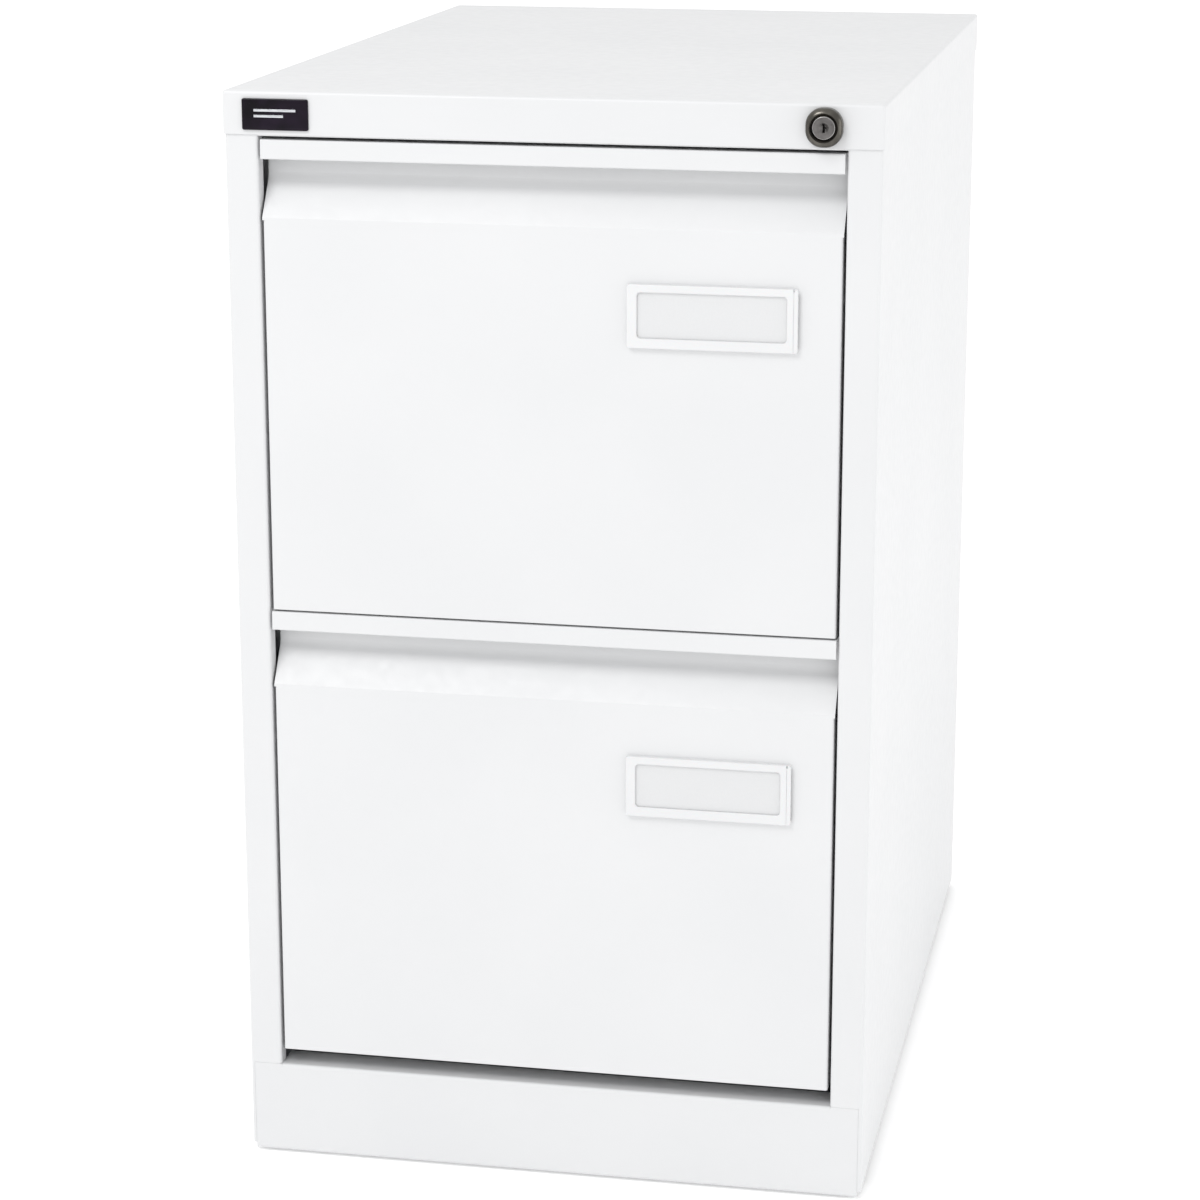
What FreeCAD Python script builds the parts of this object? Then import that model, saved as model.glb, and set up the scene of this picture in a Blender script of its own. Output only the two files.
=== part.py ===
import FreeCAD, Part
import math
import os

# A two-drawer steel filing cabinet. Millimetres, +X right, +Y back, +Z up.
# The origin is on the floor under the middle of the cabinet, lock included.

# ---- overall sizes of the top cap and of the whole cabinet
WIDTH = 413.0
DEPTH = 622.0
HEIGHT = 711.0

# ---- sheet steel
SHEET = 0.9            # carcass skins
FRAME_SHEET = 1.2      # uprights, base rails and runners
DRAWER_SHEET = 0.8
BEND = 2.2             # outer radius of a fold in a carcass skin
DRAWER_BEND = 1.6
RUNNER_BEND = 2.0
SEAM = 0.1             # gap between welded or folded sheets of one body
RUNNING = 0.3          # least gap between pieces that move past each other

# ---- carcass
CAP_HEIGHT = 27.0
POST_WIDTH = 21.2      # front faces beside the drawers
POST_RETURN = 10.5
RETURN_BELOW_CAP = 1.0
RAIL_SHOWS = 1.1       # top rail's lower edge below the cap's front
RAIL_RETURN = 16.0
RAIL_BEND = 1.3
REAR_FLANGE = 15.0
FLOOR_GAP = 2.0        # under the plinth
SIDE_LIFT = 4.0        # side skins end this far above the plinth's lower edge
PLINTH_TOP = 64.0
PLINTH_SHELF = 26.0
PLINTH_TOE = 12.0      # lower edge folded back
SHELF_DROP = 14.0      # back of the shelf folded down
END_BELOW_TOP = 4.0    # the plinth's folded ends
PAN_DROP = 6.0         # base pan below the plinth's top
PAN_FLANGE = 20.0
UPRIGHT_WIDTH = 30.0
UPRIGHT_GAP = 2.0      # front upright behind the locking bar
UPRIGHT_FROM_END = 20.0    # rear upright, from the runner's end
UPRIGHT_BELOW_TOP = 11.0
RAIL_FOOT = 45.0
RAIL_LEVEL = 14.0

# ---- drawer fronts
CAP_GAP = 3.1          # above the upper front
FRONT_GAP = 1.3        # between the two fronts
SHELF_GAP = 11.0       # under the lower front
SIDE_GAP = 1.5         # each side of a front
LIP_HEIGHT = 12.4
HANDLE_HEIGHT = 49.0   # from the top of the lip down to the flat face
HANDLE_DEPTH = 17.5
SLANT_HEIGHT = 24.0
FACE_SETBACK = 0.8     # flat face behind the lip's face
FACE_RELIEF = 0.5      # flat face narrower than the lip, each side
HEM = 1.4              # space inside the lip's folded edge
HOOK_BEND = 1.15       # folds of the lip and the recess
RECESS_BEND = 10.0     # the soft fold from the slant up to the recess wall
LINER_TOE = 8.0        # liner's lower flange ends this far behind the front
LINER_GAP = 0.9        # between the recess and the front's liner

# ---- drawer bodies
DRAWER_BACK_GAP = 31.0     # behind the drawer, to the carcass back plane less its sheets
BODY_LIFT = 6.0
BODY_BELOW_TOP = 34.0
BACK_BELOW_TOP = 100.0
TOP_FLANGE = 12.0
TOP_HEM = 8.0
BOTTOM_FLANGE = 14.0
BACK_FLANGE = 14.0
FILE_RAIL_INSET = 5.6      # rail's outer face inside the drawer's side
FILE_RAIL_THICK = 2.0
FILE_RAIL_HEIGHT = 10.0
FILE_RAIL_SEAT = 1.5

# ---- telescopic runners
RUNNER_THICK = 12.7
RUNNER_HEIGHT = 45.6
RUNNER_START = 3.0         # behind the front's liner
RUNNER_SPARE = 60.0        # drawer body longer than its runner
RUNNER_LEVEL = 110.0       # runner's centre above the front's lower edge
CAGE_SHARE = 0.4           # ball cage's length as a share of its runner
BALLS_PER_ROW = 6
BALL_OUTER = 3.8
BALL_INNER = 4.1
MIDDLE_SHEET = 1.0
CURL = 4.4                 # outer channel's edge curled over the balls
CURL_SHORT = 3.1           # curl's face short of the drawer's side
INNER_FLANGE = 7.0
BALL_STRIP = 0.8
SCREW_HEAD = 1.1
SCREW_HEAD_RADIUS = 3.4
SCREW_RADIUS = 1.9
SCREW_HOLE = SCREW_RADIUS + 0.2
UPRIGHT_SCREW = 7.0        # lengths under the head
DRAWER_SCREW = 4.0
SCREW_INSET = 25.0         # drawer screws from the runner's ends

# ---- label holder
LABEL_WIDTH = 106.4
LABEL_HEIGHT = 39.8
LABEL_THICK = 3.2
LABEL_CORNER = 2.0
LABEL_EDGE = 0.8           # rounding of its front edges
LABEL_WALL = 3.0           # beside the card's slot
LABEL_FROM_EDGE = 26.8
LABEL_BELOW_TOP = 82.8
WINDOW_WIDTH = 93.2
WINDOW_HEIGHT = 28.6
WINDOW_FROM_LEFT = 6.3
WINDOW_FROM_TOP = 4.9
WINDOW_CORNER = 2.5
CARD_THICK = 0.5
CARD_SLOT = 1.9
CARD_SHORT = 1.0           # card's end inside the holder's open end

# ---- lock
LOCK_PROUD = 8.0
LOCK_FROM_SIDE = 36.2
LOCK_BELOW_TOP = 14.0
LOCK_WIDTH = 22.6
LOCK_HEIGHT = 23.8
LOCK_CORNER = 5.5
LOCK_EDGE = 2.2            # rounding of its front edges
MOUTH_FLARE = 1.6
MOUTH_DEPTH = 3.0
PLUG_RADIUS = 7.1
PLUG_RECESS = 1.6          # plug's face behind the lock's
PLUG_FIT = 0.1
DISH_RADIUS = 4.6
DISH_FLOOR = 3.4
DISH_DEPTH = 1.0
KEY_SLOT_WIDTH = 1.8
KEY_SLOT_HEIGHT = 5.6
KEY_SLOT_DEPTH = 18.0
BARREL_RADIUS = 8.6
BARREL_SHORT = 1.0         # barrel ends in front of the crank
LOCK_NUT_FLATS = 19.0
LOCK_NUT_THICK = 4.0
LOCK_NUT_FIT = 0.05
CRANK_SETBACK = 18.5       # crank behind the front plane
CRANK_THICK = 2.0
CRANK_HUB = 6.5
CRANK_END = 3.2
CRANK_TO_BAR = 3.5
CRANK = 9.0                # plug axis to crank pin
CRANK_SWING = 90.0         # degrees, half below and half above level
CRANK_PIN = 1.8
PIN_SPARE = 1.5            # pin stands out behind the bar
PIN_SLOT_PLAY = 0.4
LOCK_BAR_WIDTH = 8.0
LOCK_BAR_THICK = 2.0
BAR_FROM_POST = 1.8        # bar beside the post's folded edge
GUIDE_WALL = 1.2
GUIDE_HEIGHT = 10.0
GUIDE_ABOVE_HOOK = 40.0
CATCH_BELOW_TOP = 75.0
CATCH_HEIGHT = 12.0
CATCH_PLATE = 1.5
CATCH_LENGTH = 22.0
CATCH_REACH = 9.5
CATCH_TOOTH = 2.5
HOOK_HEIGHT = 6.0
HOOK_DROP = 2.0            # hook below its catch when unlocked
HOOK_THICK = 4.0
HOOK_FROM_DRAWER = 5.0     # hook's tip beside the drawer
HEAD_WALL = 3.0            # steel above and below the bar's slot
HOOK_GAP = 2.0             # behind the post's folded edge

# ---- badge
BADGE_WIDTH = 42.4
BADGE_HEIGHT = 19.4
BADGE_THICK = 1.8
BADGE_FROM_SIDE = 13.2
BADGE_BELOW_TOP = 4.7
BADGE_CORNER = 1.2
BADGE_RIM = 0.5

# ---- levelling feet
FOOT_RADIUS = 15.0
FOOT_HEIGHT = 5.0
FOOT_TAPER = 3.0
STUD_RADIUS = 4.0
STUD_LENGTH = 34.0
THREAD_FIT = 0.1
FOOT_HOLE = 5.0            # radius
FOOT_NUT_FLATS = 13.0
FOOT_NUT_THICK = 6.5
FOOT_INSET = 30.0          # from the body's side
FOOT_FROM_END = 45.0

# ---- places worked out from the sizes above
overhang = SHEET + SEAM
cap_front = -DEPTH / 2 + LOCK_PROUD / 2
cap_back = cap_front + DEPTH
cap_bottom = HEIGHT - CAP_HEIGHT
front = cap_front + overhang
back = cap_back - overhang
body_half = WIDTH / 2 - overhang
body_top = HEIGHT - SHEET
skin_top = HEIGHT - BEND
skin_inside = body_half - SHEET
opening_half = body_half - POST_WIDTH
side_bottom = FLOOR_GAP + SIDE_LIFT
plinth_half = body_half - BEND - 4 * SEAM
pan_top = PLINTH_TOP - PAN_DROP
pan_front = front + PLINTH_SHELF + 1
pan_back = back - 2 * SHEET - SEAM
upright_top = HEIGHT - UPRIGHT_BELOW_TOP

front_half = opening_half - SIDE_GAP
face_half = front_half - FACE_RELIEF
stack = cap_bottom - CAP_GAP - FRONT_GAP - PLINTH_TOP - SHELF_GAP
front_height = stack / 2
lower_level = PLINTH_TOP + SHELF_GAP
upper_level = lower_level + front_height + FRONT_GAP

drawer_half = opening_half - RUNNER_THICK
liner_back = front + HANDLE_DEPTH + 2 * DRAWER_SHEET + LINER_GAP
drawer_back = back - DRAWER_BACK_GAP - 2 * SHEET
drawer_inside = drawer_half - DRAWER_SHEET
runner_front = liner_back + RUNNER_START
runner_length = drawer_back - liner_back - RUNNER_SPARE
runner_back = runner_front + runner_length
outer_reach = RUNNER_THICK - CURL_SHORT
outer_row = RUNNER_HEIGHT / 2 - FRAME_SHEET - RUNNING - BALL_OUTER / 2
middle_half = outer_row - BALL_OUTER / 2 - RUNNING
middle_web = FRAME_SHEET + SCREW_HEAD + 2 * RUNNING
middle_reach = RUNNER_THICK - FRAME_SHEET - RUNNING
inner_row = middle_half - MIDDLE_SHEET - RUNNING - BALL_INNER / 2
inner_half = inner_row - BALL_INNER / 2 - RUNNING

lock_x = WIDTH / 2 - LOCK_FROM_SIDE
lock_z = HEIGHT - LOCK_BELOW_TOP
lock_travel = 2 * CRANK * math.sin(math.radians(CRANK_SWING / 2))
cam_line = front + CRANK_SETBACK
bar_line = cam_line + CRANK_TO_BAR
hook_front = max(front + POST_RETURN, liner_back + HOOK_GAP / 2) + HOOK_GAP
bar_back = hook_front + HOOK_THICK
bar_front = bar_back - LOCK_BAR_WIDTH
bar_x = opening_half + SHEET + BAR_FROM_POST
slot_half = CRANK_PIN + PIN_SLOT_PLAY
head_low = lock_z - lock_travel / 2 - slot_half - HEAD_WALL

Vector = FreeCAD.Vector
AXIS_ORDER = {"x": (1, 2, 0), "y": (0, 2, 1), "z": (0, 1, 2)}


def at(axis, a, b, along):
    """A point of a profile that is drawn across an axis."""
    point = [0.0, 0.0, 0.0]
    for index, value in zip(AXIS_ORDER[axis], (a, b, along)):
        point[index] = value
    return Vector(*point)


def block(x0, x1, y0, y1, z0, z1):
    return Part.makeBox(x1 - x0, y1 - y0, z1 - z0, Vector(x0, y0, z0))


def rod(axis, radius, a, b, low, high):
    direction = at(axis, 0, 0, 1)
    return Part.makeCylinder(radius, high - low, at(axis, a, b, low), direction)


def mirrored(shape):
    return shape.mirror(Vector(0, 0, 0), Vector(1, 0, 0))


def joined(shapes):
    return shapes[0].multiFuse(shapes[1:]).removeSplitter()


def heading(p, q):
    length = math.hypot(q[0] - p[0], q[1] - p[1])
    return (q[0] - p[0]) / length, (q[1] - p[1]) / length


def beside(points, distance):
    """The same open outline moved to its right by distance."""
    headings = [heading(p, q) for p, q in zip(points, points[1:])]
    rights = [(d[1], -d[0]) for d in headings]
    moved = [(points[0][0] + rights[0][0] * distance, points[0][1] + rights[0][1] * distance)]
    for p, n, m in zip(points[1:], rights, rights[1:]):
        share = distance / (1 + n[0] * m[0] + n[1] * m[1])
        moved.append((p[0] + (n[0] + m[0]) * share, p[1] + (n[1] + m[1]) * share))
    last = points[-1]
    moved.append((last[0] + rights[-1][0] * distance, last[1] + rights[-1][1] * distance))
    return moved


def turn(before, corner, after):
    """The angle turned at a corner, positive to the left."""
    d, e = heading(before, corner), heading(corner, after)
    return math.atan2(d[0] * e[1] - d[1] * e[0], d[0] * e[0] + d[1] * e[1])


def rounded_line(axis, points, radii, along):
    """Straight edges and tangent arcs through the points."""
    edges = []
    start = points[0]
    for before, corner, after, radius in zip(points, points[1:], points[2:], radii):
        angle = turn(before, corner, after)
        reach = radius * math.tan(abs(angle) / 2)
        d, e = heading(before, corner), heading(corner, after)
        into = (corner[0] - d[0] * reach, corner[1] - d[1] * reach)
        out = (corner[0] + e[0] * reach, corner[1] + e[1] * reach)
        sag = radius * (1 / math.cos(angle / 2) - 1)
        inward = heading(corner, ((into[0] + out[0]) / 2, (into[1] + out[1]) / 2))
        middle = (corner[0] + inward[0] * sag, corner[1] + inward[1] * sag)
        edges.append(Part.makeLine(at(axis, *start, along), at(axis, *into, along)))
        arc = Part.Arc(at(axis, *into, along), at(axis, *middle, along), at(axis, *out, along))
        edges.append(arc.toShape())
        start = out
    edges.append(Part.makeLine(at(axis, *start, along), at(axis, *points[-1], along)))
    return edges


def folded(axis, points, thick, bend, low, high, soft=None):
    """Folded sheet metal. The points follow one face, with the sheet on their right.

    Folds share one outer radius; a soft fold is a point's number and its own radius.
    """
    other = beside(points, thick)
    corners = list(zip(points, points[1:], points[2:]))
    outer = [bend] * len(corners)
    if soft:
        outer[soft[0] - 1] = soft[1]
    left = [turn(*corner) > 0 for corner in corners]
    near = [size - thick if bent_left else size for size, bent_left in zip(outer, left)]
    far = [size if bent_left else size - thick for size, bent_left in zip(outer, left)]
    edges = rounded_line(axis, points, near, low)
    edges.append(Part.makeLine(at(axis, *points[-1], low), at(axis, *other[-1], low)))
    edges += rounded_line(axis, other, far, low)
    edges.append(Part.makeLine(at(axis, *points[0], low), at(axis, *other[0], low)))
    outline = Part.Wire(Part.__sortEdges__(edges))
    return Part.Face(outline).extrude(at(axis, 0, 0, high - low))


def rounded_block(x0, x1, y0, y1, z0, z1, corner, axis="y"):
    """A block whose four edges along one axis are rounded."""
    body = block(x0, x1, y0, y1, z0, z1)
    direction = at(axis, 0, 0, 1)
    edges = [e for e in body.Edges if abs(e.tangentAt(0).dot(direction)) > 0.99]
    return body.makeFillet(corner, edges)


# ---------------------------------------------------------------- carcass

def top_cap():
    """A tray over the body, folded down on all four sides, with the lock's hole."""
    tray = block(-WIDTH / 2, WIDTH / 2, cap_front, cap_back, cap_bottom, HEIGHT)
    outer = tray.makeFillet(BEND, [e for e in tray.Edges if e.BoundBox.ZMax > HEIGHT - 1])
    room = block(
        -WIDTH / 2 + SHEET, WIDTH / 2 - SHEET, cap_front + SHEET, cap_back - SHEET,
        cap_bottom - 1, body_top,
    )
    edges = [e for e in room.Edges if e.BoundBox.ZMax > body_top - 1]
    inner = room.makeFillet(BEND - SHEET, edges)
    hole = rod("y", BARREL_RADIUS + SEAM, lock_x, lock_z, cap_front - 1, front)
    return outer.cut(inner).cut(hole)


def side_panel():
    """Right skin: side, rear flange and front post in one sheet."""
    rear = [(body_half - REAR_FLANGE, back), (body_half, back), (body_half, front)]
    fold_end = [(plinth_half + SEAM, front)]
    post = [(opening_half, front)]
    inward = [(opening_half, front + POST_RETURN)]
    post_bottom = PLINTH_TOP + SEAM
    return_top = cap_bottom - RETURN_BELOW_CAP
    return joined([
        folded("z", rear + fold_end, SHEET, BEND, side_bottom, post_bottom),
        folded("z", rear + post + inward, SHEET, BEND, post_bottom, return_top),
        folded("z", rear + post, SHEET, BEND, return_top, skin_top),
    ])


def back_panel():
    half = body_half - BEND - SEAM
    return block(-half, half, back - 2 * SHEET, back - SHEET, side_bottom, skin_top)


def base_pan():
    """Cabinet floor, with its front and rear edges folded down."""
    line = [
        (pan_front, pan_top - PAN_FLANGE), (pan_front, pan_top),
        (pan_back, pan_top), (pan_back, pan_top - PAN_FLANGE),
    ]
    half = skin_inside - SEAM
    return folded("x", line, SHEET, BEND, -half, half)


def base_rail():
    """Right rail under the floor, drilled for the levelling feet."""
    outside = skin_inside - SEAM
    top = pan_top - SHEET
    line = [
        (outside - PAN_FLANGE, top), (outside, top),
        (outside, RAIL_LEVEL), (outside - RAIL_FOOT, RAIL_LEVEL),
    ]
    inset = BEND + SEAM
    rail = folded("y", line, FRAME_SHEET, BEND, pan_front + inset, pan_back - inset)
    for y in foot_lines():
        rail = rail.cut(rod("z", FOOT_HOLE, foot_x(), y, 0, RAIL_LEVEL + 3))
    return rail


def plinth():
    """Front kick plate, with a shelf between the posts and short ends folded back."""
    plate = [(front + PLINTH_TOE, FLOOR_GAP), (front, FLOOR_GAP), (front, PLINTH_TOP)]
    shelf = [
        (front + PLINTH_SHELF, PLINTH_TOP),
        (front + PLINTH_SHELF, PLINTH_TOP - SHELF_DROP),
    ]
    wing = folded("x", plate, SHEET, BEND, opening_half, plinth_half)
    end = block(
        plinth_half - SHEET, plinth_half, front + SHEET / 2, front + PLINTH_SHELF - SHEET / 2,
        FLOOR_GAP + SHEET / 2, PLINTH_TOP - END_BELOW_TOP,
    )
    face = folded("x", plate + shelf, SHEET, BEND, -opening_half, opening_half)
    return joined([face, wing, end, mirrored(wing), mirrored(end)])


def top_rail():
    """Angle behind the cap's front that ties the posts and backs the lock."""
    half = opening_half - SEAM
    level = min(cap_bottom - RAIL_SHOWS, head_low - RUNNING - SHEET)
    line = [(front + RAIL_RETURN, level), (front, level), (front, skin_top)]
    rail = folded("x", line, SHEET, RAIL_BEND, -half, half)
    return rail.cut(rod("y", BARREL_RADIUS + SEAM, lock_x, lock_z, cap_front, front + 4))


def upright(near):
    """Right runner post: a channel that opens towards the side skin."""
    line = [
        (skin_inside, near), (opening_half, near),
        (opening_half, near + UPRIGHT_WIDTH), (skin_inside, near + UPRIGHT_WIDTH),
    ]
    post = folded("z", line, FRAME_SHEET, BEND, pan_top, upright_top)
    for z in runner_levels():
        middle = near + UPRIGHT_WIDTH / 2
        post = post.cut(rod("x", SCREW_HOLE, middle, z, drawer_half, opening_half + 4))
    return post


def upright_lines():
    return bar_back + UPRIGHT_GAP, runner_back - UPRIGHT_WIDTH - UPRIGHT_FROM_END


def runner_levels():
    return lower_level + RUNNER_LEVEL, upper_level + RUNNER_LEVEL


def foot_x():
    return body_half - FOOT_INSET


def foot_lines():
    return front + FOOT_FROM_END, back - FOOT_FROM_END


def foot():
    """Front right levelling foot: a plastic pad on a steel stud."""
    pad = Part.makeCone(FOOT_RADIUS, FOOT_RADIUS - FOOT_TAPER, FOOT_HEIGHT)
    stud = Part.makeCylinder(STUD_RADIUS, STUD_LENGTH, Vector(0, 0, FOOT_HEIGHT))
    return joined([pad, stud])


def hexagon(axis, flats, a, b, low, high):
    radius = flats / math.sqrt(3)
    corners = []
    for k in range(7):
        angle = math.radians(60 * k)
        corners.append(at(axis, a + radius * math.cos(angle), b + radius * math.sin(angle), low))
    return Part.Face(Part.makePolygon(corners)).extrude(at(axis, 0, 0, high - low))


def foot_nuts():
    """Weld nuts on the base rails, one above each foot."""
    seat = RAIL_LEVEL + FRAME_SHEET
    nuts = []
    for y in foot_lines():
        nut = hexagon("z", FOOT_NUT_FLATS, foot_x(), y, seat, seat + FOOT_NUT_THICK)
        nut = nut.cut(rod("z", STUD_RADIUS + THREAD_FIT, foot_x(), y, 0, STUD_LENGTH))
        nuts += [nut, mirrored(nut)]
    return Part.makeCompound(nuts)


def badge():
    """Plain domed nameplate with a raised rim, stuck to the cap."""
    x0 = -WIDTH / 2 + BADGE_FROM_SIDE
    z1 = HEIGHT - BADGE_BELOW_TOP
    plate = rounded_block(
        x0, x0 + BADGE_WIDTH, cap_front - BADGE_THICK, cap_front, z1 - BADGE_HEIGHT, z1,
        BADGE_CORNER)
    rim = [e for e in plate.Edges if e.BoundBox.YMax < cap_front - BADGE_THICK / 2]
    return plate.makeChamfer(BADGE_RIM, rim)


# ---------------------------------------------------------------- runners

def centred(level, points):
    """Profile points given from the runner's fixing face and centre line, for the right side."""
    return [(opening_half - inward, level + up) for inward, up in points]


def outer_member(level):
    """Fixed channel of the right runner, with its edges curled over the balls."""
    half = RUNNER_HEIGHT / 2
    reach = outer_reach
    line = [
        (reach, half - CURL), (reach, half), (0, half),
        (0, -half), (reach, -half), (reach, CURL - half),
    ]
    member = folded("y", centred(level, line), FRAME_SHEET, RUNNER_BEND, runner_front, runner_back)
    for near in upright_lines():
        middle = near + UPRIGHT_WIDTH / 2
        drill = rod("x", SCREW_HOLE, middle, level, opening_half - 3, opening_half + 1)
        member = member.cut(drill)
    return member


def middle_member(level):
    half = middle_half
    line = [
        (middle_reach, half), (middle_web, half), (middle_web, -half), (middle_reach, -half)]
    points = centred(level, line)
    return folded("y", points, MIDDLE_SHEET, RUNNER_BEND, runner_front, runner_back)


def inner_member(level):
    """Channel screwed to the drawer's right side."""
    half = inner_half
    near = RUNNER_THICK - INNER_FLANGE
    line = [(near, -half), (RUNNER_THICK, -half), (RUNNER_THICK, half), (near, half)]
    member = folded("y", centred(level, line), FRAME_SHEET, RUNNER_BEND, runner_front, runner_back)
    for y in screw_lines():
        drill = rod("x", SCREW_HOLE, y, level, drawer_half - 2, drawer_half + 3)
        member = member.cut(drill)
    return member


def screw_lines():
    return runner_front + SCREW_INSET, runner_back - SCREW_INSET


def ball_cage(level, row, near, far, ball):
    """Top and bottom rows of balls of the right runner, each in its drilled strip."""
    length = runner_length * CAGE_SHARE
    first = runner_front + runner_length / 4 + (runner_length / 2 - length) / 2
    pitch = length / BALLS_PER_ROW
    x0, x1 = opening_half - far, opening_half - near
    x = (x0 + x1) / 2
    half = BALL_STRIP / 2
    solids = []
    for side in (-1, 1):
        z = level + side * row
        strip = block(x0, x1, first, first + length, z - half, z + half)
        for k in range(BALLS_PER_ROW):
            y = first + pitch * (k + 0.5)
            strip = strip.cut(rod("z", ball / 2 + SEAM, x, y, z - 1, z + 1))
            solids.append(Part.makeSphere(ball / 2, Vector(x, y, z)))
        solids.append(strip)
    return Part.makeCompound(solids)


def outer_cage(level):
    near, far = 2 * FRAME_SHEET, outer_reach - FRAME_SHEET - RUNNING
    return ball_cage(level, outer_row, near, far, BALL_OUTER)


def inner_cage(level):
    near = middle_web + MIDDLE_SHEET + 2 * RUNNING
    far = RUNNER_THICK - FRAME_SHEET - 2 * RUNNING
    return ball_cage(level, inner_row, near, far, BALL_INNER)


def screw(seat, y, z, length):
    """Pan-head screw for the right side, its head inboard of the seat."""
    head = rod("x", SCREW_HEAD_RADIUS, y, z, 0, SCREW_HEAD)
    shank = rod("x", SCREW_RADIUS, y, z, -length, 0)
    one = joined([head, shank])
    one = mirrored(one)
    one.translate(Vector(seat, 0, 0))
    return one


def runner_screws():
    """Screws through the fixed channels into the uprights."""
    solids = []
    for level in runner_levels():
        for near in upright_lines():
            y = near + UPRIGHT_WIDTH / 2
            one = screw(opening_half - FRAME_SHEET, y, level, UPRIGHT_SCREW)
            solids += [one, mirrored(one)]
    return Part.makeCompound(solids)


def drawer_screws(level):
    """Screws from inside the drawer into its two runner channels."""
    solids = []
    for y in screw_lines():
        one = screw(drawer_inside, y, level, DRAWER_SCREW)
        solids += [one, mirrored(one)]
    return Part.makeCompound(solids)


# ---------------------------------------------------------------- drawers

def front_skin(base):
    """Outer sheet of a drawer front: flat face, slanted finger recess and hooked lip."""
    top = base + front_height
    flat_top = top - HANDLE_HEIGHT
    face = front + FACE_SETBACK
    wall = front + HANDLE_DEPTH
    inner = front + DRAWER_SHEET
    under = top - DRAWER_SHEET
    lip_end = top - LIP_HEIGHT + DRAWER_SHEET
    flange_back = liner_back - DRAWER_SHEET - SEAM
    line = [
        (flange_back, base), (face, base), (face, flat_top), (wall, flat_top + SLANT_HEIGHT),
        (wall, under), (inner, under), (inner, lip_end), (inner + HEM, lip_end),
        (inner + HEM, lip_end + LIP_HEIGHT / 2),
    ]
    hook = folded(
        "x", line, DRAWER_SHEET, HOOK_BEND, -front_half, front_half, (3, RECESS_BEND))
    trim_from = face_half - 2 * DRAWER_BEND
    trim = block(
        trim_from, front_half + 1, front - 1, liner_back + 1, base - 1, flat_top - DRAWER_BEND)
    hook = hook.cut(trim).cut(mirrored(trim))
    ends = [
        (face_half, flange_back), (face_half, face), (-face_half, face), (-face_half, flange_back)]
    pan = folded("z", ends, DRAWER_SHEET, DRAWER_BEND, base, flat_top - DRAWER_BEND)
    return joined([hook, pan])


def front_liner(base):
    """Inner sheet that closes the back of a drawer front."""
    low = base + DRAWER_SHEET + SEAM
    high = base + front_height - DRAWER_SHEET - SEAM
    line = [(liner_back, high), (liner_back, low), (front + LINER_TOE, low)]
    half = face_half - DRAWER_SHEET - SEAM
    return folded("x", line, DRAWER_SHEET, DRAWER_BEND, -half, half)


def side_top(base):
    return base + front_height - BODY_BELOW_TOP


def drawer_side(base):
    """Right side, folded in at the bottom to carry the floor and at the top for the file rail."""
    low, high = base + BODY_LIFT, side_top(base)
    inward = drawer_half - TOP_FLANGE
    line = [
        (inward, high - TOP_HEM), (inward, high), (drawer_half, high),
        (drawer_half, low), (drawer_half - BOTTOM_FLANGE, low),
    ]
    side = folded("y", line, DRAWER_SHEET, DRAWER_BEND, liner_back, drawer_back)
    for y in screw_lines():
        level = base + RUNNER_LEVEL
        drill = rod("x", SCREW_HOLE, y, level, drawer_inside - 1, drawer_half + 1)
        side = side.cut(drill)
    return side


def drawer_floor(base):
    low = base + BODY_LIFT + DRAWER_SHEET
    half = drawer_half - DRAWER_BEND - SEAM
    return block(-half, half, liner_back, drawer_back, low, low + DRAWER_SHEET)


def drawer_end(base):
    """Back of the drawer, its ends folded forward against the sides."""
    half = drawer_inside - SEAM
    low = base + BODY_LIFT + 2 * DRAWER_SHEET
    high = base + front_height - BACK_BELOW_TOP
    line = [
        (half, drawer_back - BACK_FLANGE), (half, drawer_back), (-half, drawer_back),
        (-half, drawer_back - BACK_FLANGE)]
    line.reverse()
    return folded("z", line, DRAWER_SHEET, DRAWER_BEND, low, high)


def file_rails(base):
    """Two hanging rails along the drawer's top, 330 mm apart for A4 suspension files."""
    seat = side_top(base)
    outside = drawer_half - FILE_RAIL_INSET
    rail = joined([
        block(
            outside - FILE_RAIL_THICK, outside, liner_back + RUNNING, drawer_back - RUNNING,
            seat, seat + FILE_RAIL_HEIGHT),
        block(
            outside - FILE_RAIL_THICK, drawer_half - DRAWER_BEND, liner_back + RUNNING,
            drawer_back - RUNNING, seat, seat + FILE_RAIL_SEAT),
    ])
    return Part.makeCompound([rail, mirrored(rail)])


def label_box(base):
    """Left, right, bottom and top of a label holder."""
    right = front_half - LABEL_FROM_EDGE
    top = base + front_height - LABEL_BELOW_TOP
    return right - LABEL_WIDTH, right, top - LABEL_HEIGHT, top


def card_line():
    """Front and back of the slot that the card slides in."""
    face = front + FACE_SETBACK
    return face - CARD_SLOT, face


def label_holder(base):
    """Frame with a window, open at its right end for the card."""
    left, right, low, high = label_box(base)
    face = front + FACE_SETBACK
    frame = rounded_block(left, right, face - LABEL_THICK, face, low, high, LABEL_CORNER)
    lip = [e for e in frame.Edges if e.BoundBox.YMax < face - LABEL_THICK / 2]
    frame = frame.makeFillet(LABEL_EDGE, lip)
    x0 = left + WINDOW_FROM_LEFT
    z1 = high - WINDOW_FROM_TOP
    window = rounded_block(
        x0, x0 + WINDOW_WIDTH, face - LABEL_THICK - 1, face + 1, z1 - WINDOW_HEIGHT, z1,
        WINDOW_CORNER)
    near, far = card_line()
    slot = block(
        left + LABEL_WALL, right + 1, near, far + 1, low + LABEL_WALL, high - LABEL_WALL)
    return frame.cut(window).cut(slot)


def label_card(base):
    left, right, low, high = label_box(base)
    y = card_line()[0] + RUNNING
    edge = LABEL_WALL + RUNNING
    return block(left + edge, right - CARD_SHORT, y, y + CARD_THICK, low + edge, high - edge)


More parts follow.
